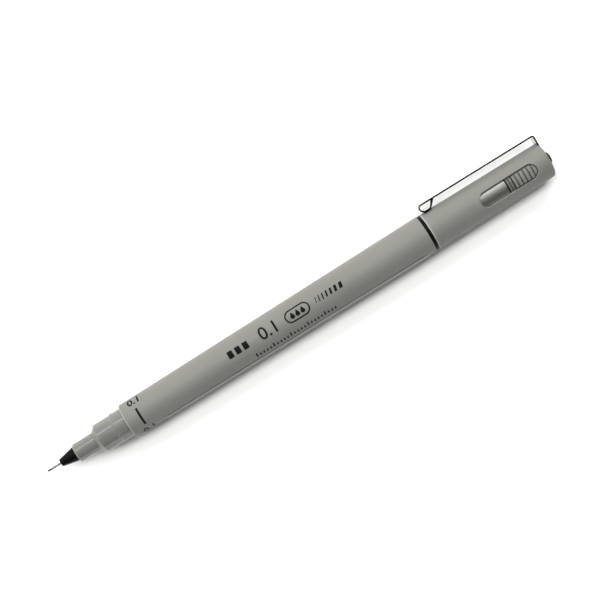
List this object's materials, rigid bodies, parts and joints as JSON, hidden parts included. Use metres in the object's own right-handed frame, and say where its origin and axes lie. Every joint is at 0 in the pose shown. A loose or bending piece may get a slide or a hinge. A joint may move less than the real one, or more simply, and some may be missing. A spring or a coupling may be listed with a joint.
{
  "type": "technical pen",
  "caption": "Slim fine-tip drawing pen with a needle-tube nib, stepped front section, tapered barrel and a posted clip cap with a thumb slide.",
  "frame": {"origin": "centre of the barrel's front face, on the pen's axis", "axes": "+X along the pen towards the cap's closed end, +Y towards the clip, +Z out of the cap's slot"},
  "size_m": [0.1498, 0.0127, 0.0102],
  "materials": {
    "matt_grey_plastic": "fine matt, warm grey",
    "gloss_grey_plastic": "gloss, warm grey",
    "black_plastic": "satin, black",
    "steel": "polished strip steel",
    "nib_black": "matt, black",
    "fibre": "ink-soaked fibre",
    "film": "thin clear film",
    "label": "satin printed label",
    "bright_sleeve": "bright smooth sleeve",
    "rubber": "matt, black"
  },
  "bodies": {
    "pen": {"barrel": "matt_grey_plastic", "front_section": "gloss_grey_plastic", "nib_holder": "black_plastic", "needle_tube": "steel", "nib_core": "nib_black", "feed_wick": "fibre", "ink_reservoir": "fibre", "reservoir_film": "film", "barrel_label": "label", "tail_plug": "black_plastic"},
    "cap": {"cap_shell": "matt_grey_plastic", "crown_button": "black_plastic", "clip_tab": "steel"},
    "clip": {"clip_arm": "steel"},
    "slider": {"inner_cap": "bright_sleeve", "tip_seal": "rubber", "seal_ring": "rubber", "slide_carriage": "gloss_grey_plastic", "slide_knob": "matt_grey_plastic"}
  },
  "joints": [
    {"name": "cap_pull", "type": "slide", "parent": "pen", "child": "cap", "axis": [1, 0, 0], "range_m": [0, 0.012]},
    {"name": "clip_flex", "type": "hinge", "parent": "cap", "child": "clip", "pos_m": [0.12495, 0.00515, 0], "axis": [0, 0, -1], "range_deg": [0, 7], "stiffness_Nm_per_rad": 0.37},
    {"name": "seal_slide", "type": "slide", "parent": "cap", "child": "slider", "axis": [-1, 0, 0], "range_m": [0, 0.0078]}
  ]
}
